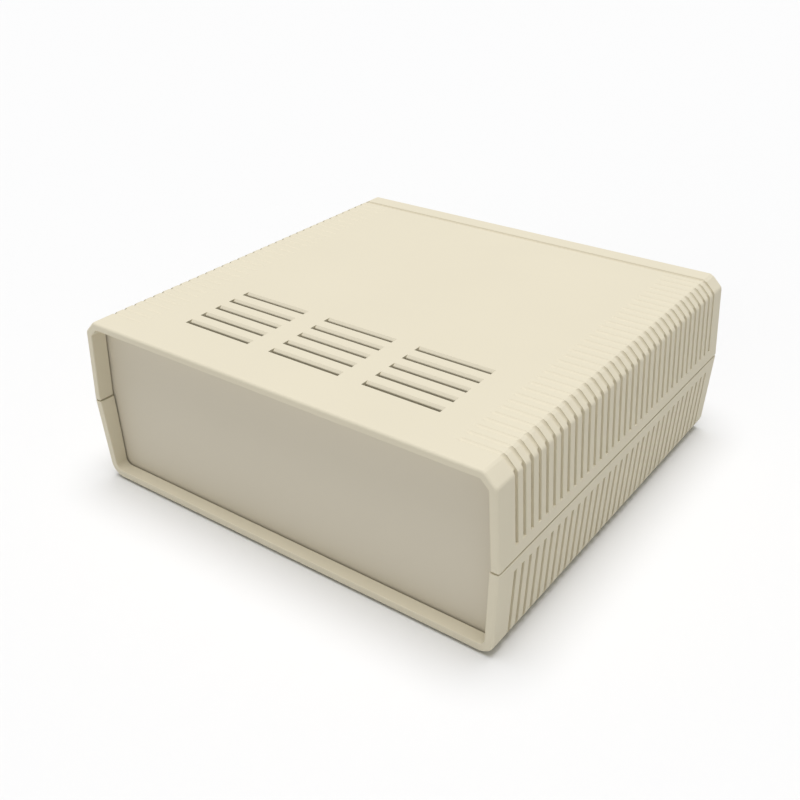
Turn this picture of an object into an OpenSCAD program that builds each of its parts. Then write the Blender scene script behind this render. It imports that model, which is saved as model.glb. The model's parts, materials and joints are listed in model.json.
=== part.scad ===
// Two-part instrument enclosure: ribbed half shells, end panels in slots, screws from beneath and low feet.
// X is the width, Y the depth with the front at -Y, Z is up. The origin is under the middle, on the table.

/* [Case] */
// Width over the parting line
case_w = 195; // [170:1:260]
// Depth from the front edge to the rear edge
case_d = 186; // [150:1:260]
// Height of each half shell
half_h = 37.1; // [32:0.1:60]
// Thickness of the shell walls
wall = 2.5; // [2:0.1:3.2]
// How far the upper side walls lean in, from the parting line to the chamfer
upper_draft = 2.1; // [0:0.1:4]
// How far the lower side walls lean in, from the parting line to the bottom
lower_draft = 1.7; // [0:0.1:4]
// How far the lower front and rear edges lean in, from the parting line to the bottom
end_lean = 1.5; // [0:0.1:3]
// Chamfer along the side edges of the top
top_chamfer = 5; // [3.5:0.1:8]
// Rounding of the two corners of that chamfer
chamfer_round = 2.5; // [1:0.1:3.5]
// Rounding of the side edges of the bottom
bottom_round = 6.5; // [5:0.1:10]
// Open line between the two half shells
parting_gap = 0.6; // [0.2:0.1:1]
// Depth of that line in the bezels, where the shells meet behind it
parting_depth = 0.8; // [0.4:0.1:0.9]

/* [Panels] */
// Thickness of the bezel around a panel, in the upper shell
bezel_t = 3.2; // [2.6:0.1:4]
// How much thicker the bezel is in the lower shell
bezel_step = 0.5; // [0:0.1:1]
// Distance from the case's end to the panel's face
panel_recess = 7.6; // [4:0.1:12]
// Thickness of a panel
panel_t = 2; // [1:0.1:3]
// How far a panel's edge reaches into its slot
panel_bite = 1.5; // [1:0.1:2]
// Open gap in the slot in front of a panel
panel_gap = 0.7; // [0.1:0.1:1.2]
// Clearance behind a panel and around its edge
panel_clear = 0.1; // [0.05:0.05:0.3]
// Thickness of the lip behind the slot
slot_lip = 2; // [1.2:0.1:4]

/* [Ribbed sides] */
// Spacing of the grooves
groove_pitch = 5; // [3:0.1:10]
// Width of a groove
groove_w = 1.9; // [0.8:0.1:2.4]
// Depth of a groove in the side walls
groove_depth = 1.4; // [0.6:0.1:1.6]
// Depth of the round groove in the chamfer
groove_chamfer_depth = 1; // [0.3:0.1:1]
// Radius of that groove
groove_chamfer_r = 1; // [1:0.1:1.5]
// Depth of the hollow that a groove makes on the top
groove_top_depth = 0.35; // [0.1:0.05:0.7]
// Radius of that hollow
groove_top_r = 2.2; // [1.5:0.1:5]
// Length of that hollow, in from the chamfer
groove_top_run = 18; // [5:0.5:30]
// Length over which that hollow runs out
groove_top_fade = 2.5; // [1:0.5:5]
// Depth of the line that the last groove draws across the top
line_depth = 0.6; // [0.2:0.1:1]
// Radius of that line
line_r = 1.6; // [1:0.1:3]
// Distance from the front edge to the middle of the first groove
groove_front = 11.5; // [9:0.5:30]
// Least distance from the rear edge to the middle of the last groove
groove_rear = 9.5; // [9:0.5:30]
// Height of the plain band on either side of the parting line
plain_band = 5.2; // [4:0.1:12]

/* [Vents] */
// Length of a vent slot
vent_l = 33; // [15:0.5:38]
// Width of a vent slot
vent_w = 2.6; // [1:0.1:3.2]
// Reach of the sloped lip behind a vent slot
vent_lip = 1.1; // [0.4:0.1:2]
// Depth of that lip at the slot
vent_lip_depth = 0.9; // [0.3:0.1:1.5]
// Spacing of the rows of slots
vent_pitch = 8; // [5:0.5:15]
// Rows of slots in a group
vent_rows = 5; // [1:1:8]
// Spacing of the groups across the case
vent_group_pitch = 43.6; // [40:0.2:46]
// Groups of slots across the case
vent_groups = 3; // [1:2:3]
// Distance from the front edge to the first row
vent_front = 22.7; // [15:0.1:60]

/* [Screws and posts] */
// Distance from the case's side to a screw
screw_inset_x = 14.5; // [13:0.5:30]
// Distance from the case's end to a screw
screw_inset_y = 31; // [28:0.5:50]
// Core diameter of a screw
screw_core_d = 2.3; // [2:0.1:3]
// Length of a screw under its head
screw_l = 16; // [12:0.5:22]
// Length of a screw's taper to its tip
screw_tip_l = 2.3; // [1:0.1:4]
// Diameter of a screw's blunt tip
screw_tip_d = 0.6; // [0.3:0.1:1]
// Diameter of a screw head
screw_head_d = 5.6; // [5:0.1:7]
// Diameter of the flat end of a screw head
screw_crown_d = 4.5; // [3.8:0.1:4.9]
// Height of a screw head
screw_head_h = 2.2; // [1.5:0.1:3]
// Length of the cross recess in a screw head
recess_l = 3.2; // [2:0.1:3.6]
// Width of the cross recess
recess_w = 0.8; // [0.5:0.1:1.2]
// Depth of the cross recess
recess_depth = 1.2; // [0.5:0.1:1.4]
// Clearance around a screw in its hole and around its head
screw_clear = 0.5; // [0.3:0.1:0.8]
// Clearance around a screw core in the hole that it cuts its thread in
pilot_clear = 0.1; // [0.05:0.05:0.15]
// Wall of a screw post around the head's hole
post_wall = 1.2; // [1:0.1:2]
// Thickness of the shelf that a screw head pulls on
shelf_t = 6; // [4:0.5:9]

/* [Board posts] */
// Spacing of the board posts across the case
board_pitch_x = 130; // [60:1:132]
// Spacing of the board posts along the case
board_pitch_y = 100; // [60:1:100]
// Height of a board post over the floor
board_post_h = 6; // [4:0.5:12]
// Diameter of a board post
board_post_d = 6.5; // [5:0.1:8]
// Diameter of the screw hole in a board post
board_hole_d = 2.5; // [2:0.1:3.2]

/* [Lap joint] */
// Thickness of the tongue on the lower shell
tongue_t = 1.1; // [0.8:0.1:1.3]
// Height of the tongue over the parting line
tongue_h = 1.8; // [1:0.1:3]
// Clearance around the tongue
tongue_clear = 0.2; // [0.1:0.05:0.3]

/* [Feet] */
// Diameter of a foot
foot_d = 12; // [8:0.5:14]
// How far a foot stands out under the shell
foot_proud = 0.8; // [0.6:0.1:4]
// Depth of the pocket that holds a foot
foot_pocket = 1; // [0.5:0.1:1.2]
// Clearance around a foot in its pocket
foot_clear = 0.2; // [0.1:0.05:0.4]
// Chamfer around a foot's tread
foot_chamfer = 0.4; // [0.2:0.1:0.5]
// Distance from the case's side to a foot's middle
foot_inset_x = 17.5; // [16:0.5:40]
// Distance from the case's end to a foot's middle
foot_inset_y = 16; // [15:0.5:18]

/* [Hidden] */
$fn = 48;
arc_steps = 12;
round_steps = 3;
cut = 1;
shell_colour = "#E3DBC4";
panel_colour = "#CFC8B6";
screw_colour = "#8A8C8E";
foot_colour = "#2B2B2D";

z_bottom = foot_proud;
z_part = z_bottom + half_h;
z_top = z_part + half_h;
upper_slope = upper_draft / (half_h - top_chamfer);
lower_slope = lower_draft / half_h;
chamfer_x = case_w / 2 - upper_draft;
top_edge_x = chamfer_x - top_chamfer;

slot_front = panel_recess - panel_gap;
slot_rear = panel_recess + panel_t + panel_clear;
slot_inset = bezel_t - panel_bite;
bezel_depth = slot_rear + slot_lip;
cavity_y = case_d / 2 - bezel_depth;

groove_count = floor((case_d - groove_front - groove_rear) / groove_pitch) + 1;

screw_x = case_w / 2 - screw_inset_x;
screw_y = case_d / 2 - screw_inset_y;
head_hole_d = screw_head_d + 2 * screw_clear;
shank_hole_d = screw_core_d + 2 * screw_clear;
pilot_d = screw_core_d + 2 * pilot_clear;
post_d = head_hole_d + 2 * post_wall;
z_shelf = z_part - shelf_t;
pilot_depth = screw_l - shelf_t + cut;

foot_x = case_w / 2 - foot_inset_x;
foot_y = case_d / 2 - foot_inset_y;

// Outline of the section across the case, inset by t: right half, from the bottom up

function upper_x(z, t) = case_w / 2 - t - upper_slope * (z - z_part);
function lower_x(z, t) = case_w / 2 - t - lower_slope * (z_part - z);

// Height at which the chamfer, inset by its own depth, meets the upper wall inset by t
function chamfer_sum(depth) = chamfer_x + z_top - top_chamfer - depth * sqrt(2);
function chamfer_z(t, depth) = (chamfer_sum(depth) - upper_x(0, t)) / (1 - upper_slope);

function upper_half(t, z) = [
    [upper_x(z, t), z],
    [upper_x(chamfer_z(t, t), t), chamfer_z(t, t)],
    [chamfer_sum(t) - z_top + t, z_top - t]
];

// Corner at p between lines from a0 to a1, by angle, rounded to radius r
function round_corner(p, a0, a1, r) = [
    for (i = [0:round_steps])
        let (a = a0 + (a1 - a0) * i / round_steps, middle = (a0 + a1) / 2, reach = r / cos((a1 - a0) / 2))
            [p.x - reach * cos(middle) + r * cos(a), p.y - reach * sin(middle) + r * sin(a)]
];

// The same outline at the surface, with the chamfer's corners rounded; the angles are those of the normals
function upper_skin(z) = let (half = upper_half(0, z)) concat(
    [half[0]],
    round_corner(half[1], atan(upper_slope), 45, chamfer_round),
    round_corner(half[2], 45, 90, chamfer_round)
);

function corner_r(t) = bottom_round - t;
function corner_z(t) = z_bottom + t + corner_r(t);
function corner_x(t) = lower_x(corner_z(t), t) - corner_r(t) * sqrt(1 + lower_slope * lower_slope);
function corner_angle(i) = -90 + (90 - atan(lower_slope)) * i / arc_steps;

function lower_half(t, z) = concat(
    [for (i = [0:arc_steps])
        [corner_x(t) + corner_r(t) * cos(corner_angle(i)), corner_z(t) + corner_r(t) * sin(corner_angle(i))]],
    [[lower_x(z, t), z]]
);

// A right half joined to its mirror image
function both_halves(half) = concat(half, [for (i = [len(half) - 1:-1:0]) [-half[i].x, half[i].y]]);

// Extrudes a section drawn in X and Z from y0 to y1
module along_depth(y0, y1) {
    translate([0, y1, 0])
        rotate([90, 0, 0])
            linear_extrude(height = y1 - y0)
                children();
}

module upper_prism(t, z, y0, y1) {
    along_depth(y0, y1)
        polygon(both_halves(upper_half(t, z)));
}

module lower_prism(t, z, y0, y1) {
    along_depth(y0, y1)
        polygon(both_halves(lower_half(t, z)));
}

// Children at the left and at the right
module both_sides() {
    for (side = [0, 1])
        mirror([side, 0, 0])
            children();
}

// Children at the front and at the rear
module both_ends() {
    for (end = [0, 1])
        mirror([0, end, 0])
            children();
}

module four_corners(x, y) {
    both_sides()
        both_ends()
            translate([x, y, 0])
                children();
}

// One side's row of grooves, cut with the given section
module groove_row(section) {
    for (i = [0:groove_count - 1]) {
        y = -case_d / 2 + groove_front + i * groove_pitch;
        along_depth(y - groove_w / 2, y + groove_w / 2)
            polygon(section);
    }
}

upper_groove = [
    [upper_x(z_top, groove_depth), z_top],
    [upper_x(z_part + plain_band, groove_depth), z_part + plain_band],
    [case_w / 2 + cut, z_part + plain_band],
    [case_w / 2 + cut, z_top]
];

lower_groove = [
    [lower_x(z_part - plain_band, groove_depth), z_part - plain_band],
    [lower_x(z_bottom - cut, groove_depth), z_bottom - cut],
    [case_w / 2 + cut, z_bottom - cut],
    [case_w / 2 + cut, z_part - plain_band]
];

// Round hollow on the top, in from the right side's chamfer
module top_hollow(y) {
    translate([top_edge_x - groove_top_run, y, z_top - groove_top_depth + groove_top_r])
        rotate([0, 90, 0])
            rotate_extrude()
                polygon([
                    [0, -groove_top_fade],
                    [groove_top_r - 2 * groove_top_depth, -groove_top_fade],
                    [groove_top_r, groove_top_fade],
                    [groove_top_r, groove_top_run + cut],
                    [0, groove_top_run + cut]
                ]);
}

// Round groove on the top, from the middle to the right side's chamfer
module top_line(y) {
    translate([-cut, y, z_top - line_depth + line_r])
        rotate([0, 90, 0])
            cylinder(r = line_r, h = top_edge_x + 2 * cut);
}

// Round groove across the right side's chamfer
module chamfer_groove(y) {
    translate([chamfer_x, y, z_top - top_chamfer])
        rotate([0, -45, 0])
            translate([groove_chamfer_r - groove_chamfer_depth, 0, -cut])
                cylinder(r = groove_chamfer_r, h = top_chamfer * sqrt(2) + 2 * cut);
}

// The right side's grooves carried on over the chamfer and out on the top, the last one right across it
module shoulder_grooves() {
    for (i = [0:groove_count - 1]) {
        y = -case_d / 2 + groove_front + i * groove_pitch;
        chamfer_groove(y);
        if (i < groove_count - 1)
            top_hollow(y);
        else
            top_line(y);
    }
}

// Vent slot through the top wall, with a sloped lip behind it
module vent_slot() {
    rotate([90, 0, 90])
        linear_extrude(height = vent_l, center = true)
            polygon([
                [-vent_w / 2, z_top - wall - cut],
                [vent_w / 2, z_top - wall - cut],
                [vent_w / 2, z_top - vent_lip_depth],
                [vent_w / 2 + vent_lip, z_top],
                [vent_w / 2 + vent_lip, z_top + cut],
                [-vent_w / 2, z_top + cut]
            ]);
}

module vents() {
    for (group = [0:vent_groups - 1])
        for (row = [0:vent_rows - 1])
            translate([(group - (vent_groups - 1) / 2) * vent_group_pitch,
                       -case_d / 2 + vent_front + row * vent_pitch, 0])
                vent_slot();
}

// Body of the lower shell: outer form with its ends leaning in
module lower_body() {
    z_edge = z_part - parting_gap / 2;
    intersection() {
        lower_prism(0, z_edge, -case_d / 2, case_d / 2);
        rotate([90, 0, 90])
            linear_extrude(height = case_w + 2 * cut, center = true)
                polygon([
                    [-case_d / 2 + end_lean, z_bottom],
                    [case_d / 2 - end_lean, z_bottom],
                    [case_d / 2, z_part],
                    [-case_d / 2, z_part]
                ]);
    }
}

module lower_hollow() {
    lower_prism(bezel_t + bezel_step, z_part, -case_d / 2 - cut, case_d / 2 + cut);
    lower_prism(wall, z_part, -cavity_y, cavity_y);
    both_ends()
        lower_prism(slot_inset, z_part, -case_d / 2 + slot_front, -case_d / 2 + slot_rear);
}

module upper_hollow() {
    upper_prism(bezel_t, z_part, -case_d / 2 - cut, case_d / 2 + cut);
    upper_prism(wall, z_part, -cavity_y, cavity_y);
    both_ends()
        upper_prism(slot_inset, z_part, -case_d / 2 + slot_front, -case_d / 2 + slot_rear);
}

// Lands in the bezel's side walls, between z0 and z1, where the two shells meet
module bezel_lands(z0, z1) {
    land = bezel_t - 2 * parting_depth;
    both_sides()
        both_ends()
            translate([case_w / 2 - parting_depth - land, cavity_y, z0])
                cube([land, bezel_depth - parting_depth, z1 - z0]);
}

// Tongue along each side wall, on the wall's inner face
module tongues() {
    both_sides()
        translate([case_w / 2 - wall, -cavity_y + tongue_clear, z_part - parting_gap - cut])
            cube([tongue_t, 2 * (cavity_y - tongue_clear), tongue_h + parting_gap + cut]);
}

module tongue_rebates() {
    both_sides()
        translate([case_w / 2 - wall - cut, -cavity_y, z_part - cut])
            cube([tongue_t + tongue_clear + cut, 2 * cavity_y, tongue_h + tongue_clear + cut]);
}

module lower_shell() {
    color(shell_colour)
        difference() {
            union() {
                difference() {
                    union() {
                        lower_body();
                        bezel_lands(z_part - parting_gap, z_part);
                    }
                    lower_hollow();
                }
                tongues();
                four_corners(screw_x, screw_y)
                    translate([0, 0, z_bottom + wall / 2])
                        cylinder(d = post_d, h = z_part - z_bottom - wall / 2);
                four_corners(board_pitch_x / 2, board_pitch_y / 2)
                    translate([0, 0, z_bottom + wall / 2])
                        cylinder(d = board_post_d, h = wall / 2 + board_post_h);
            }
            both_sides()
                groove_row(lower_groove);
            four_corners(screw_x, screw_y) {
                translate([0, 0, z_bottom - cut])
                    cylinder(d = head_hole_d, h = z_shelf - z_bottom + cut);
                translate([0, 0, z_shelf - cut])
                    cylinder(d = shank_hole_d, h = shelf_t + 2 * cut);
            }
            four_corners(board_pitch_x / 2, board_pitch_y / 2)
                translate([0, 0, z_bottom + wall])
                    cylinder(d = board_hole_d, h = board_post_h + cut);
            four_corners(foot_x, foot_y)
                translate([0, 0, z_bottom - cut])
                    cylinder(d = foot_d + 2 * foot_clear, h = foot_pocket + cut);
        }
}

module upper_shell() {
    color(shell_colour)
        difference() {
            union() {
                difference() {
                    union() {
                        along_depth(-case_d / 2, case_d / 2)
                            polygon(both_halves(upper_skin(z_part + parting_gap / 2)));
                        bezel_lands(z_part, z_part + parting_gap);
                    }
                    upper_hollow();
                }
                four_corners(screw_x, screw_y)
                    translate([0, 0, z_part])
                        cylinder(d = post_d, h = half_h - wall / 2);
            }
            tongue_rebates();
            both_sides() {
                groove_row(upper_groove);
                shoulder_grooves();
            }
            vents();
            four_corners(screw_x, screw_y)
                translate([0, 0, z_part - cut])
                    cylinder(d = pilot_d, h = pilot_depth + cut);
        }
}

// Plate that fills the panel slots of both shells, at the front
module end_panel() {
    inset = slot_inset + panel_clear;
    outline = concat(lower_half(inset, z_part), upper_half(inset, z_part + parting_gap / 2));
    color(panel_colour)
        along_depth(-case_d / 2 + panel_recess, -case_d / 2 + panel_recess + panel_t)
            polygon(both_halves(outline));
}

module front_panel() {
    end_panel();
}

module rear_panel() {
    mirror([0, 1, 0])
        end_panel();
}

// Pan head screw with a cross recess, head down, its seat at z_shelf
module case_screw() {
    translate([0, 0, z_shelf])
        difference() {
            union() {
                translate([0, 0, -screw_head_h])
                    cylinder(d1 = screw_crown_d, d2 = screw_head_d, h = screw_head_h / 2);
                translate([0, 0, -screw_head_h / 2])
                    cylinder(d = screw_head_d, h = screw_head_h / 2);
                cylinder(d = screw_core_d, h = screw_l - screw_tip_l);
                translate([0, 0, screw_l - screw_tip_l])
                    cylinder(d1 = screw_core_d, d2 = screw_tip_d, h = screw_tip_l);
            }
            for (turn = [0, 90])
                rotate([0, 0, turn])
                    translate([-recess_l / 2, -recess_w / 2, -screw_head_h - cut])
                        cube([recess_l, recess_w, recess_depth + cut]);
        }
}

module case_screws() {
    color(screw_colour)
        four_corners(screw_x, screw_y)
            case_screw();
}

module foot() {
    color(foot_colour)
        rotate_extrude()
            polygon([
                [0, 0],
                [foot_d / 2 - foot_chamfer, 0],
                [foot_d / 2, foot_chamfer],
                [foot_d / 2, foot_proud + foot_pocket],
                [0, foot_proud + foot_pocket]
            ]);
}

module foot_front_left() {
    translate([-foot_x, -foot_y, 0])
        foot();
}

module foot_front_right() {
    translate([foot_x, -foot_y, 0])
        foot();
}

module foot_rear_left() {
    translate([-foot_x, foot_y, 0])
        foot();
}

module foot_rear_right() {
    translate([foot_x, foot_y, 0])
        foot();
}

lower_shell();
upper_shell();
front_panel();
rear_panel();
case_screws();
foot_front_left();
foot_front_right();
foot_rear_left();
foot_rear_right();
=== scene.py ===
"""Dresses a two-part moulded instrument case: rounded edges, threaded screws, materials and stage."""

import json
import math

import bmesh
import bpy
from bpy.props import FloatProperty, FloatVectorProperty, IntProperty, PointerProperty
from bpy.types import Operator, Panel, PropertyGroup
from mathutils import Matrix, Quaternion, Vector
from mathutils.bvhtree import BVHTree

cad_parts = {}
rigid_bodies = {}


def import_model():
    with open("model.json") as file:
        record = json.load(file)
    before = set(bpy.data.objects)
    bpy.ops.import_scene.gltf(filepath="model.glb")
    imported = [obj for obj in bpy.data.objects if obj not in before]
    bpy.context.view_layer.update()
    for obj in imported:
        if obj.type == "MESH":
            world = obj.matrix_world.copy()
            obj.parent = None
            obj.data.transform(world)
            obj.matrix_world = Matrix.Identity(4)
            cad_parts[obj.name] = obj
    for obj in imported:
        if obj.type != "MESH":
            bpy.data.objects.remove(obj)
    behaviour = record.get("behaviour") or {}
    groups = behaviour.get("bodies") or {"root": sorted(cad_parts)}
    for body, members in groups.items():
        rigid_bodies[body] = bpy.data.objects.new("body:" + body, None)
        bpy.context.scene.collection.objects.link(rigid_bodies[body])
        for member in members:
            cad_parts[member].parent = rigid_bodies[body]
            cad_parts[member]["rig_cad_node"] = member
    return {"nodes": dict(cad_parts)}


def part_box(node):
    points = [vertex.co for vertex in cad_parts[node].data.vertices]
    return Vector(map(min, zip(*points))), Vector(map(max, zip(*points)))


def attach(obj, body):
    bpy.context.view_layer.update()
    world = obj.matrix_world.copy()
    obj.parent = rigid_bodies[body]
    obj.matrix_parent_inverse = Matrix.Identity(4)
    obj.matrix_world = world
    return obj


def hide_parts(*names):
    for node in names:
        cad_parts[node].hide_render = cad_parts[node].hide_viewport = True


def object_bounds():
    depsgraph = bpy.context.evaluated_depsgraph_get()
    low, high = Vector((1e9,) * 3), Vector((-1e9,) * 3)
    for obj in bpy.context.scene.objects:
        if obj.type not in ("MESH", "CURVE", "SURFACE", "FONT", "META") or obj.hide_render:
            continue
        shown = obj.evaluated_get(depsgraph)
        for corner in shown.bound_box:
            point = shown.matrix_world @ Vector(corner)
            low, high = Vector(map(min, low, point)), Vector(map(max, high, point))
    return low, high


bl_info = {
    "name": "Instrument enclosure",
    "version": (1, 0, 0),
    "blender": (4, 5, 0),
    "location": "3D View > Sidebar > Enclosure",
    "description": "Finishes the shells, panels, screws and feet of an instrument case and sets its stage",
    "category": "Object",
}

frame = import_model()
CAD_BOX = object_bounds()
MM = 0.001

# Limits for merging and rounding
SHARP = math.radians(30)  # edges that turn more than this are rounded
SMOOTH = math.radians(25)  # shading runs on over edges that turn less than this
FLAT = math.radians(1)  # faces that differ less than this are one flat stretch
MERGE = 0.002 * MM  # corners closer than this are one corner
NEAR = 0.02 * MM  # places closer than this count as one place
LEAST = 0.03 * MM  # roundings up to this size are left out
SHARE = 0.55  # most that a rounding takes of the width of a face beside it
FACING = 0.9  # least part of a normal along y where a face looks to the front or the rear
SLOPING = (0.2, 0.95)  # parts of a normal along z between which a face slopes

# Places on the shells
TOP = CAD_BOX[1].z
END = CAD_BOX[1].y - 2 * MM  # the edges of the front and the rear end lie beyond this
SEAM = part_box("upper_shell")[0].z
PARTING = (0.25 * MM, 0.5 * MM)  # the edges of the parting line lie this far from the seam
STRAIGHT = (6.9 * MM, 69.2 * MM)  # the side walls are straight between these heights
SHOULDER = 88 * MM  # the side walls lie beyond this
VENT_SIDE = 70 * MM  # the vents lie within this, and the hollows on the top beyond it
VENT_ROWS = [(-70.3 + 8 * row) * MM for row in range(5)]
HOLE_ROWS = [y * MM for y in (-77, -62, 62, 77)]  # feet and screws, from front to rear
REAR_GROOVE = 81 * MM  # the groove across the top lies behind this
SHALLOW = 0.62 * MM  # the hollows and the groove on the top are less deep than this


def linear(code):
    """Linear colour of an sRGB hex value."""
    channels = [int(code[i:i + 2], 16) / 255 for i in (1, 3, 5)]
    return [c / 12.92 if c <= 0.04045 else ((c + 0.055) / 1.055) ** 2.4 for c in channels]


def length(name, description, millimetres):
    """Property that holds a length."""
    return FloatProperty(name=name, description=description, default=millimetres * MM, unit="LENGTH",
                         precision=5)


def angle(name, description, degrees):
    """Property that holds an angle."""
    return FloatProperty(name=name, description=description, default=math.radians(degrees), subtype="ANGLE")


def factor(name, description, value, least):
    """Property that holds a strength or a ratio."""
    return FloatProperty(name=name, description=description, default=value, min=least)


def point(name, description, millimetres):
    """Property that holds a point."""
    return FloatVectorProperty(name=name, description=description, default=[x * MM for x in millimetres],
                               subtype="TRANSLATION")


def colour(name, description, code):
    """Property that holds a colour."""
    return FloatVectorProperty(name=name, description=description, default=linear(code), subtype="COLOR")


class EnclosureEdges(PropertyGroup):
    """Roundings of the edges, and depths of the shallow forms on the top"""

    front_rim: length("Front rim", "Rounding of the outer edge around the front", 1.2)
    rear_rim: length("Rear rim", "Rounding of the outer edge around the rear", 0.5)
    opening: length("Opening", "Rounding of the edge around a panel opening", 0.4)
    parting: length("Parting line", "Rounding of the edges along the parting line", 0.35)
    fine: length("Fine edges", "Rounding of the grooves and other small edges", 0.2)
    vent: length("Vents", "Rounding of the long edges of the vent slots", 0.25)
    lip: length("Vent lip", "Rounding of the edge where a vent's lip leaves the top", 0.6)
    hollow: factor("Hollows", "Deepening of the hollows on the right of the top", 1.45, least=1)
    line: factor("Rear groove", "Deepening of the groove across the top", 1.8, least=1)
    panel: length("Panel", "Rounding of a panel's edges", 0.3)
    foot: length("Foot", "Setback of the rounding on a rubber foot", 0.15)
    screw: length("Screw", "Setback of the rounding on a screw", 0.06)
    steps: IntProperty(name="Steps", description="Faces across each rounding", default=4, min=1, max=8)


class EnclosureThread(PropertyGroup):
    """Thread of the case screws"""

    diameter: length("Thread diameter", "Outer diameter of the thread", 2.9)
    pitch: length("Pitch", "Distance from turn to turn", 1.2)
    foot: length("Thread foot", "Height of the thread where it leaves the core", 0.7)
    bare: length("Bare shank", "Plain length under the head", 1.6)
    steps: IntProperty(name="Steps", description="Faces around each turn", default=24, min=8, max=64)


class EnclosureFinish(PropertyGroup):
    """Colours and grain of the materials"""

    shell: colour("Shell", "Beige of the moulded shells", "#DAD2BC")
    panel: colour("Panel", "Greyer beige of the panels", "#D1C9B7")
    steel: colour("Screw", "Zinc plating", "#B9BBBC")
    rubber: colour("Foot", "Black of the rubber", "#222224")
    grain: length("Grain", "Spacing of the pits in the moulded texture", 0.6)
    relief: length("Relief", "Depth of the pits in the moulded texture", 0.02)


class EnclosureStage(PropertyGroup):
    """Floor, light and camera"""

    floor: colour("Floor", "White of the floor", "#E9E9E9")
    sky: colour("Surroundings", "Colour of the light from all around", "#FFFFF4")
    sky_strength: factor("Surroundings strength", "Strength of the light from all around", 0.32, least=0)
    key: colour("Lamps", "Colour of the overhead and the front light", "#FBFBFF")
    key_strength: factor("Overhead light", "Strength of the overhead light", 2.8, least=0)
    key_width: angle("Lamp width", "Width of the overhead and the front light, seen from the case", 40)
    front_strength: factor("Front light", "Strength of the low light from the front", 0.28, least=0)
    front_height: angle("Front light height", "Height of the front light above the horizon", 15)
    lens: FloatProperty(name="Lens", description="Focal length of the camera", default=45.1, unit="CAMERA")
    place: point("Camera", "Place of the camera", (218.2, -309.5, 243.9))
    aim: point("Aim", "Point in the middle of the picture", (5.8, -19.8, 37.3))
    roll: angle("Roll", "Turn of the camera about its line of sight", -0.55)


# Modelling


def use(piece):
    """Makes a piece the active object and the only selected one."""
    bpy.ops.object.select_all(action="DESELECT")
    piece.select_set(True)
    bpy.context.view_layer.objects.active = piece


def apply_modifier(piece, kind, **settings):
    """Adds a modifier with its settings to a piece and applies it."""
    use(piece)
    modifier = piece.modifiers.new(kind, kind)
    for name, value in settings.items():
        setattr(modifier, name, value)
    bpy.ops.object.modifier_apply(modifier=modifier.name)


def node_copy(node, name):
    """Copy of a solid's mesh with its triangles merged, and one face on each flat stretch."""
    use(frame["nodes"][node])
    bpy.ops.object.duplicate()
    piece = bpy.context.object
    piece.name = name
    piece.data.name = name
    del piece["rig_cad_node"]
    piece.data.materials.clear()
    bpy.ops.mesh.customdata_custom_splitnormals_clear()
    bpy.ops.object.mode_set(mode="EDIT")
    bpy.ops.mesh.select_mode(type="EDGE")
    bpy.ops.mesh.select_all(action="SELECT")
    bpy.ops.mesh.remove_doubles(threshold=MERGE)
    bpy.ops.mesh.dissolve_limited(angle_limit=FLAT)
    bpy.ops.object.mode_set(mode="OBJECT")
    return piece


def solid_tree(nodes):
    """Search tree of the faces of some solids, which hide what lies behind them."""
    corners = []
    faces = []
    for node in nodes:
        mesh = frame["nodes"][node].data
        faces += [[len(corners) + corner for corner in face.vertices] for face in mesh.polygons]
        corners += [vertex.co for vertex in mesh.vertices]
    return BVHTree.FromPolygons(corners, faces)


def faces_out(tree, loop):
    """True if no solid lies over a loop's face, beside the loop's edge."""
    normal = loop.face.normal
    ends = (loop.vert.co, loop.link_loop_next.vert.co)
    inwards = normal.cross(ends[1] - ends[0]).normalized()
    start = (ends[0] + ends[1]) / 2 + (inwards + normal) * NEAR
    return tree.ray_cast(start, normal)[0] is None


def room_beside(loop):
    """Width of a loop's face beside the middle of the loop's edge."""
    start, end = (vertex.co for vertex in loop.edge.verts)
    middle = (start + end) / 2
    along = (end - start).normalized()
    across = loop.face.normal.cross(loop.link_loop_next.vert.co - loop.vert.co).normalized()
    room = math.inf
    for other in loop.face.loops:
        offsets = [vertex.co - middle for vertex in (other.vert, other.link_loop_next.vert)]
        a0, a1 = (offset.dot(along) for offset in offsets)
        if other is not loop and (a0 > 0) != (a1 > 0):
            b0, b1 = (offset.dot(across) for offset in offsets)
            far = b0 + (b1 - b0) * a0 / (a0 - a1)
            if far > 0:
                room = min(room, far)
    return room


def round_edges(piece, steps, tree, radius_of):
    """Rounds the sharp edges that show, each to the radius that radius_of(edge, its faces that show) gives.

    Hollow edges stay sharp, and a rounding takes no more than its share of the faces beside it.
    """
    use(piece)
    bpy.ops.object.mode_set(mode="EDIT")
    bpy.ops.mesh.select_mode(type="EDGE")
    mesh = bmesh.from_edit_mesh(piece.data)
    radii = {}
    for edge in mesh.edges:
        if edge.is_convex and edge.calc_face_angle(0) > SHARP:
            shown = [loop.face for loop in edge.link_loops if faces_out(tree, loop)]
            if shown:
                room = min(room_beside(loop) for loop in edge.link_loops)
                radius = min(radius_of(edge, shown), room * SHARE)
                if radius > LEAST:
                    radii.setdefault(round(radius, 6), []).append(edge.index)
    widest = max(radii)
    for radius, numbers in radii.items():
        bpy.ops.mesh.select_all(action="DESELECT")
        mesh = bmesh.from_edit_mesh(piece.data)
        mesh.edges.ensure_lookup_table()
        for number in numbers:
            mesh.edges[number].select_set(True)
        bmesh.update_edit_mesh(piece.data)
        bpy.ops.transform.edge_bevelweight(value=radius / widest)
    bpy.ops.object.mode_set(mode="OBJECT")
    apply_modifier(piece, "BEVEL", limit_method="WEIGHT", width=widest, segments=steps,
                   use_clamp_overlap=False, loop_slide=False)
    bpy.ops.object.shade_smooth_by_angle(angle=SMOOTH)
    apply_modifier(piece, "WEIGHTED_NORMAL", keep_sharp=True)


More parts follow.
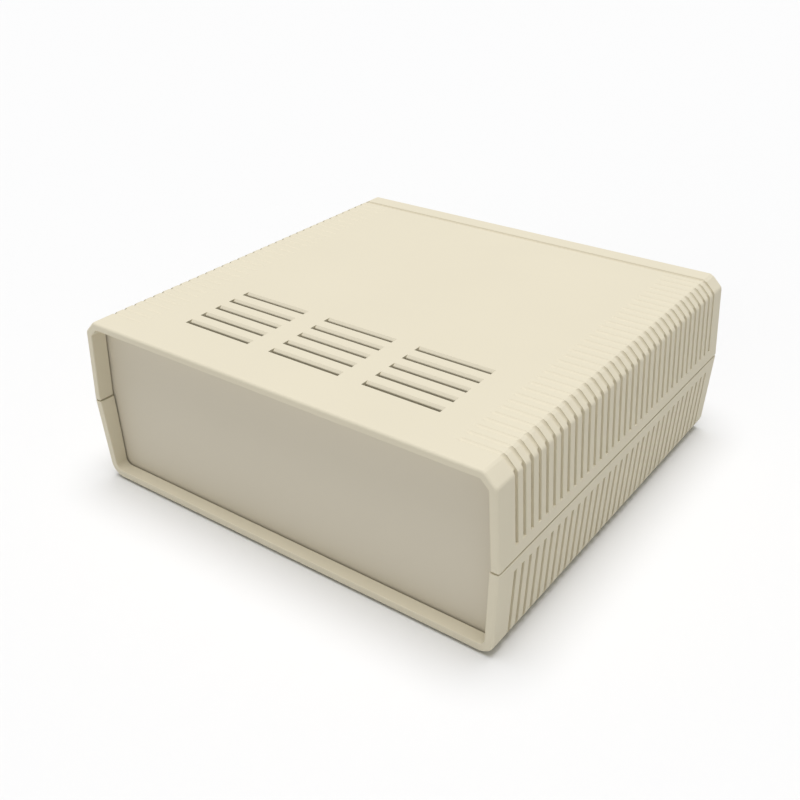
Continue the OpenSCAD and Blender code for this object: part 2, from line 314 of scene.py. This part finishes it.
def part_flat(piece, level, lines):
    """Parts the flat stretches at a level along lines of equal y through its holes.

    No face then surrounds a hole, and each hole has an even border for its rounding.
    """
    use(piece)
    bpy.ops.object.mode_set(mode="EDIT")
    bpy.ops.mesh.select_mode(type="FACE")
    for y in lines:
        bpy.ops.mesh.select_all(action="DESELECT")
        mesh = bmesh.from_edit_mesh(piece.data)
        for face in mesh.faces:
            face.select_set(all(abs(vertex.co.z - level) < NEAR for vertex in face.verts))
        bmesh.update_edit_mesh(piece.data)
        bpy.ops.mesh.bisect(plane_co=(0, y, 0), plane_no=(0, 1, 0), threshold=MERGE)
    bpy.ops.mesh.select_mode(type="EDGE")
    bpy.ops.mesh.select_all(action="DESELECT")
    mesh = bmesh.from_edit_mesh(piece.data)
    for edge in mesh.edges:
        ends = [vertex.co for vertex in edge.verts]
        inside = edge.calc_face_angle(math.pi) < FLAT and all(abs(end.z - level) < NEAR for end in ends)
        on_line = any(all(abs(end.y - y) < NEAR for end in ends) for y in lines)
        edge.select_set(inside and not on_line)
    bmesh.update_edit_mesh(piece.data)
    bpy.ops.mesh.dissolve_edges(use_verts=False)
    bpy.ops.object.mode_set(mode="OBJECT")


def deepen(piece, level, ratio, chosen):
    """Scales what lies just under a level away from it, where chosen(its place) is true."""
    use(piece)
    bpy.ops.object.mode_set(mode="EDIT")
    bpy.ops.mesh.select_mode(type="VERT")
    bpy.ops.mesh.select_all(action="DESELECT")
    mesh = bmesh.from_edit_mesh(piece.data)
    for vertex in mesh.verts:
        vertex.select_set(NEAR < level - vertex.co.z < SHALLOW and chosen(vertex.co))
    bmesh.update_edit_mesh(piece.data)
    bpy.ops.transform.resize(value=(1, 1, ratio), center_override=(0, 0, level))
    bpy.ops.object.mode_set(mode="OBJECT")


def finish_piece(piece, material, node):
    """Gives a piece its material and puts it in the place of its solid."""
    piece.data.materials.append(material)
    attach(piece, "root")
    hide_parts(node)


# Materials


def add_node(tree, kind, sockets, **settings):
    """Adds a node with its settings. Each socket takes a value, or the output that is linked to it."""
    node = tree.nodes.new(kind)
    for name, value in settings.items():
        setattr(node, name, value)
    for key, value in sockets.items():
        if isinstance(value, bpy.types.NodeSocket):
            tree.links.new(value, node.inputs[key])
        else:
            node.inputs[key].default_value = value
    return node


def surface(name, base, spread, drift, grain, relief, roughness, **shader):
    """Material whose colour drifts slowly by a share of the base colour, with pits that dull it.

    Real pits are finer than the picture shows, so they are drawn coarser.
    """
    material = bpy.data.materials.new(name)
    material.use_nodes = True
    tree = material.node_tree
    tree.nodes.clear()
    coordinates = add_node(tree, "ShaderNodeTexCoord", {}).outputs["Object"]
    clouds = add_node(tree, "ShaderNodeTexNoise", {"Vector": coordinates, "Scale": 1 / drift, "Detail": 2})
    pits = add_node(tree, "ShaderNodeTexNoise", {"Vector": coordinates, "Scale": 1 / grain, "Detail": 3})
    tint = add_node(tree, "ShaderNodeMix", {
        0: clouds.outputs["Fac"],
        6: [c * (1 - spread) for c in base] + [1],
        7: [min(c * (1 + spread), 1) for c in base] + [1],
    }, data_type="RGBA")
    dulling = add_node(tree, "ShaderNodeMapRange", {
        "Value": pits.outputs["Fac"],
        "To Min": roughness[0],
        "To Max": roughness[1],
    })
    bump = add_node(tree, "ShaderNodeBump", {"Height": pits.outputs["Fac"], "Distance": relief})
    sockets = {
        "Base Color": tint.outputs[2],
        "Roughness": dulling.outputs["Result"],
        "Normal": bump.outputs["Normal"],
    }
    shader_node = add_node(tree, "ShaderNodeBsdfPrincipled", sockets | shader)
    add_node(tree, "ShaderNodeOutputMaterial", {"Surface": shader_node.outputs["BSDF"]})
    return material


def moulded_abs(finish):
    """ABS from a spark-eroded mould: an even dull sheen over pits, with a faint drift from the flow."""
    return surface("moulded_abs", finish.shell, spread=0.02, drift=50 * MM, grain=finish.grain,
                   relief=finish.relief, roughness=(0.7, 0.8), IOR=1.54)


def sheet_abs(finish):
    """Sheet ABS, rolled with a shallower and slightly glossier grain than the mouldings."""
    return surface("sheet_abs", finish.panel, spread=0.015, drift=70 * MM, grain=finish.grain,
                   relief=finish.relief / 2, roughness=(0.6, 0.7), IOR=1.54)


def zinc_plate(finish):
    """Bright zinc on steel: a metal with a soft gloss and cloudy plating."""
    return surface("zinc_plate", finish.steel, spread=0.08, drift=1.5 * MM, grain=0.2 * MM,
                   relief=finish.relief / 4, roughness=(0.25, 0.45), Metallic=1.0)


def moulded_rubber(finish):
    """Moulded rubber: black, dull and a little dusty."""
    return surface("moulded_rubber", finish.rubber, spread=0.25, drift=3 * MM, grain=finish.grain,
                   relief=finish.relief, roughness=(0.7, 0.85), IOR=1.52)


# Pieces


class ENCLOSURE_OT_shells(Operator):
    """Model the upper and the lower shell, with the edges that show rounded as they leave the mould"""

    bl_idname = "enclosure.shells"
    bl_label = "Half shells"

    def execute(self, context):
        edges = context.scene.enclosure_edges
        plastic = moulded_abs(context.scene.enclosure_finish)
        everything = solid_tree(frame["nodes"])
        for node, upwards, rows in (("upper_shell", 1, VENT_ROWS), ("lower_shell", -1, HOLE_ROWS)):
            piece = node_copy(node, node + "_moulding")
            part_flat(piece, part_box(node)[upwards > 0].z, rows)
            if upwards > 0:
                deepen(piece, TOP, edges.hollow, lambda spot: spot.x > VENT_SIDE and spot.y < REAR_GROOVE)
                deepen(piece, TOP, edges.line, lambda spot: spot.y > REAR_GROOVE)
            round_edges(piece, edges.steps, everything,
                        lambda edge, shown: self.radius_of(edges, upwards, edge, shown))
            finish_piece(piece, plastic, node)
        return {"FINISHED"}

    def radius_of(self, edges, upwards, edge, shown):
        """Radius by place: the joint stays sharp inside, and ends, vents and fine edges differ.

        Where a groove turns over the shoulder or runs out in the bottom curve, its edges stay sharp.
        """
        middle = (edge.verts[0].co + edge.verts[1].co) / 2
        heights = [vertex.co.z for vertex in edge.verts]
        from_seam = [upwards * (height - SEAM) for height in heights]
        if min(from_seam) < PARTING[0]:
            return 0
        if max(from_seam) < PARTING[1]:
            return edges.parting
        if abs(middle.y) > END and any(abs(face.normal.y) > FACING for face in shown):
            outwards = Vector((middle.x, 0, middle.z - SEAM))
            walls = [face for face in edge.link_faces if abs(face.normal.y) < FACING]
            if any(wall.normal.dot(outwards) < -NEAR for wall in walls):
                return edges.opening
            return edges.front_rim if middle.y < 0 else edges.rear_rim
        if max(heights) > STRAIGHT[1]:
            across = abs(edge.verts[1].co.y - edge.verts[0].co.y) < NEAR
            if not across or middle.y > 0 or abs(middle.x) > VENT_SIDE:
                return 0
            on_top = min(heights) > TOP - NEAR
            sloped = any(SLOPING[0] < face.normal.z < SLOPING[1] for face in edge.link_faces)
            return edges.lip if on_top and sloped else edges.vent
        if min(heights) < STRAIGHT[0] and abs(middle.x) > SHOULDER:
            return 0
        return edges.fine


class ENCLOSURE_OT_panels(Operator):
    """Model the front and the rear panel, cut from sheet with broken edges"""

    bl_idname = "enclosure.panels"
    bl_label = "End panels"

    def execute(self, context):
        edges = context.scene.enclosure_edges
        sheet = sheet_abs(context.scene.enclosure_finish)
        for node in ("front_panel", "rear_panel"):
            piece = node_copy(node, node + "_plate")
            round_edges(piece, edges.steps, solid_tree([node]), lambda edge, shown: edges.panel)
            finish_piece(piece, sheet, node)
        return {"FINISHED"}


class ENCLOSURE_OT_screws(Operator):
    """Model one case screw with its thread, and copy it to the other three places"""

    bl_idname = "enclosure.screws"
    bl_label = "Case screws"

    def execute(self, context):
        edges = context.scene.enclosure_edges
        screw = node_copy("case_screws", "case_screws_threaded")
        bpy.ops.object.mode_set(mode="EDIT")
        bpy.ops.mesh.select_mode(type="VERT")
        bpy.ops.mesh.select_all(action="DESELECT")
        mesh = bmesh.from_edit_mesh(screw.data)
        for vertex in mesh.verts:
            vertex.select_set(vertex.co.x < 0 or vertex.co.y < 0)
        bmesh.update_edit_mesh(screw.data)
        bpy.ops.mesh.delete(type="VERT")
        bpy.ops.object.mode_set(mode="OBJECT")
        round_edges(screw, edges.steps, solid_tree(["case_screws"]), lambda edge, shown: edges.screw)
        corners = [Vector(corner) for corner in screw.bound_box]
        heights = [corner.z for corner in corners]
        middle = sum(corners, Vector()) / len(corners)
        thread = self.thread(context.scene.enclosure_thread, min(heights), max(heights), middle)
        apply_modifier(screw, "BOOLEAN", operation="UNION", solver="EXACT", object=thread)
        bpy.data.objects.remove(thread)
        to_left = -2 * middle.x
        to_front = -2 * middle.y
        for x, y in ((to_left, 0), (0, to_front), (to_left, to_front)):
            use(screw)
            bpy.ops.object.duplicate()
            bpy.ops.transform.translate(value=(x, y, 0))
            bpy.ops.object.transform_apply()
        bpy.ops.object.select_all(action="DESELECT")
        for piece in context.scene.objects:
            piece.select_set(piece.name.startswith(screw.name))
        context.view_layer.objects.active = screw
        bpy.ops.object.join()
        finish_piece(screw, zinc_plate(context.scene.enclosure_finish), "case_screws")
        return {"FINISHED"}

    def thread(self, size, bottom, top, middle):
        """Winds a thread around a screw's core, sunk in it a little and run out into it at both ends."""
        head = 2.2 * MM
        tip = 2.3 * MM
        sunk = 0.9 * MM
        run_out = size.steps / 2
        least_share = 0.15
        low = bottom + head + size.bare
        turns = math.floor((top - tip - low) / size.pitch)
        outline = ((sunk, 0, -size.foot / 2), (size.diameter / 2, 0, 0), (sunk, 0, size.foot / 2))
        sides = len(outline)
        bpy.ops.mesh.primitive_circle_add(vertices=sides)
        thread = bpy.context.object
        for vertex, corner in zip(thread.data.vertices, outline):
            vertex.co = corner
        apply_modifier(thread, "SCREW", screw_offset=size.pitch, iterations=turns, steps=size.steps,
                       render_steps=size.steps, use_merge_vertices=False)
        last = len(thread.data.vertices) // sides - 1
        for vertex in thread.data.vertices:
            step = vertex.index // sides
            share = min(1, step / run_out + least_share, (last - step) / run_out + least_share)
            around = Vector((vertex.co.x, vertex.co.y, 0))
            radius = sunk + (around.length - sunk) * share
            vertex.co = around.normalized() * radius + Vector((0, 0, vertex.co.z))
        bpy.ops.object.mode_set(mode="EDIT")
        bpy.ops.mesh.select_all(action="SELECT")
        bpy.ops.mesh.fill_holes(sides=sides)
        bpy.ops.mesh.select_all(action="SELECT")
        bpy.ops.mesh.normals_make_consistent(inside=False)
        bpy.ops.object.mode_set(mode="OBJECT")
        thread.location = (middle.x, middle.y, low)
        bpy.ops.object.transform_apply()
        return thread


class ENCLOSURE_OT_feet(Operator):
    """Model the four rubber feet"""

    bl_idname = "enclosure.feet"
    bl_label = "Rubber feet"

    def execute(self, context):
        edges = context.scene.enclosure_edges
        rubber = moulded_rubber(context.scene.enclosure_finish)
        for node in ("foot_front_left", "foot_front_right", "foot_rear_left", "foot_rear_right"):
            piece = node_copy(node, node + "_rubber")
            round_edges(piece, edges.steps, solid_tree([node]), lambda edge, shown: edges.foot)
            finish_piece(piece, rubber, node)
        return {"FINISHED"}


# Stage


class ENCLOSURE_OT_stage(Operator):
    """Set the floor, the light and the camera"""

    bl_idname = "enclosure.stage"
    bl_label = "Stage"

    def execute(self, context):
        stage = context.scene.enclosure_stage
        self.lay_floor(stage)
        self.light(context.scene, stage)
        self.set_camera(context.scene, stage)
        return {"FINISHED"}

    def lay_floor(self, stage):
        """White floor that reaches past the picture on all sides."""
        metres_wide = 8
        bpy.ops.mesh.primitive_plane_add(size=metres_wide)
        floor = bpy.context.object
        floor.name = "floor"
        paper = bpy.data.materials.new("white_paper")
        paper.use_nodes = True
        tree = paper.node_tree
        tree.nodes.clear()
        shader = add_node(tree, "ShaderNodeBsdfPrincipled", {
            "Base Color": [*stage.floor, 1],
            "Roughness": 0.8,
            "Specular IOR Level": 0,
        })
        add_node(tree, "ShaderNodeOutputMaterial", {"Surface": shader.outputs["BSDF"]})
        floor.data.materials.append(paper)

    def light(self, scene, stage):
        """Wide overhead light, a weaker one from the front, and a white room that lights from all around.

        The room looks as bright as the lit floor, so no horizon shows.
        """
        for name, strength, tilt in (
            ("overhead_light", stage.key_strength, 0),
            ("front_light", stage.front_strength, math.pi / 2 - stage.front_height),
        ):
            bpy.ops.object.light_add(type="SUN", rotation=(tilt, 0, 0))
            lamp = bpy.context.object
            lamp.name = name
            lamp.data.color = stage.key
            lamp.data.energy = strength
            lamp.data.angle = stage.key_width
        world = bpy.data.worlds.new("white_room")
        world.use_nodes = True
        tree = world.node_tree
        tree.nodes.clear()
        walls = add_node(tree, "ShaderNodeBackground", {
            "Color": [*stage.sky, 1],
            "Strength": stage.sky_strength,
        })
        from_lamps = stage.key_strength + stage.front_strength * math.sin(stage.front_height)
        backdrop = add_node(tree, "ShaderNodeBackground", {
            "Color": [*stage.floor, 1],
            "Strength": from_lamps / math.pi + stage.sky_strength,
        })
        seen = add_node(tree, "ShaderNodeLightPath", {}).outputs["Is Camera Ray"]
        both = add_node(tree, "ShaderNodeMixShader", {
            0: seen,
            1: walls.outputs["Background"],
            2: backdrop.outputs["Background"],
        })
        add_node(tree, "ShaderNodeOutputWorld", {"Surface": both.outputs["Shader"]})
        scene.world = world

    def set_camera(self, scene, stage):
        """Camera above the right front corner, looking down on the case."""
        sight = (Vector(stage.aim) - Vector(stage.place)).to_track_quat("-Z", "Y")
        turn = sight @ Quaternion((0, 0, 1), stage.roll)
        bpy.ops.object.camera_add(location=stage.place, rotation=turn.to_euler())
        camera = bpy.context.object
        camera.name = "camera"
        camera.data.lens = stage.lens
        scene.camera = camera
        scene.view_settings.view_transform = "Standard"


# Add-on


class VIEW3D_PT_enclosure(Panel):
    """Sizes, colours and pieces of the enclosure"""

    bl_label = "Instrument enclosure"
    bl_space_type = "VIEW_3D"
    bl_region_type = "UI"
    bl_category = "Enclosure"

    def draw(self, context):
        for name, group in GROUPS.items():
            box = self.layout.box()
            for prop in group.__annotations__:
                box.prop(getattr(context.scene, name), prop)
        for operator in OPERATORS:
            self.layout.operator(operator.bl_idname)


GROUPS = {
    "enclosure_edges": EnclosureEdges,
    "enclosure_thread": EnclosureThread,
    "enclosure_finish": EnclosureFinish,
    "enclosure_stage": EnclosureStage,
}
OPERATORS = (
    ENCLOSURE_OT_shells,
    ENCLOSURE_OT_panels,
    ENCLOSURE_OT_screws,
    ENCLOSURE_OT_feet,
    ENCLOSURE_OT_stage,
)
CLASSES = (*GROUPS.values(), *OPERATORS, VIEW3D_PT_enclosure)


def register():
    for cls in CLASSES:
        bpy.utils.register_class(cls)
    for name, group in GROUPS.items():
        setattr(bpy.types.Scene, name, PointerProperty(type=group))


def unregister():
    for name in GROUPS:
        delattr(bpy.types.Scene, name)
    for cls in reversed(CLASSES):
        bpy.utils.unregister_class(cls)


def main():
    """Models every piece and sets the stage."""
    register()
    bpy.ops.enclosure.shells()
    bpy.ops.enclosure.panels()
    bpy.ops.enclosure.screws()
    bpy.ops.enclosure.feet()
    bpy.ops.enclosure.stage()


if __name__ == "__main__":
    main()
